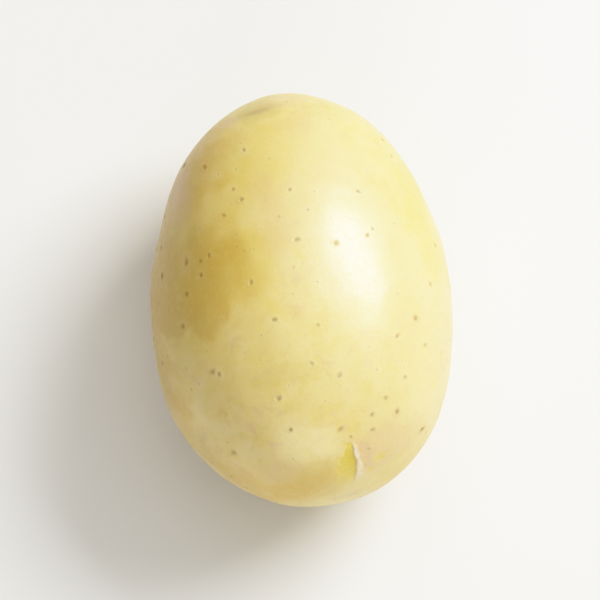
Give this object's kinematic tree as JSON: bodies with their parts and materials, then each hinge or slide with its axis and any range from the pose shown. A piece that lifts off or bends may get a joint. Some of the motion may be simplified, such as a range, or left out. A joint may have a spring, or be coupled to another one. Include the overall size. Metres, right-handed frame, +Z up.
{
  "type": "potato",
  "caption": "Whole pale-skinned washed potato, a smooth oval tuber lying on its side on a small flat spot, with shallow eyes and a stolon scar.",
  "frame": {"origin": "under the middle of the tuber's bounding box, on the surface it lies on", "axes": "+Z up, out of the flat spot it rests on; +Y along the tuber's long axis from the broad heel end, where it grew from its stolon, to the slimmer rose end; +X across it"},
  "size_m": [0.059, 0.082, 0.053],
  "materials": {
    "potato_skin": "satin"
  },
  "bodies": {
    "root": {"potato": "potato_skin"}
  },
  "joints": []
}
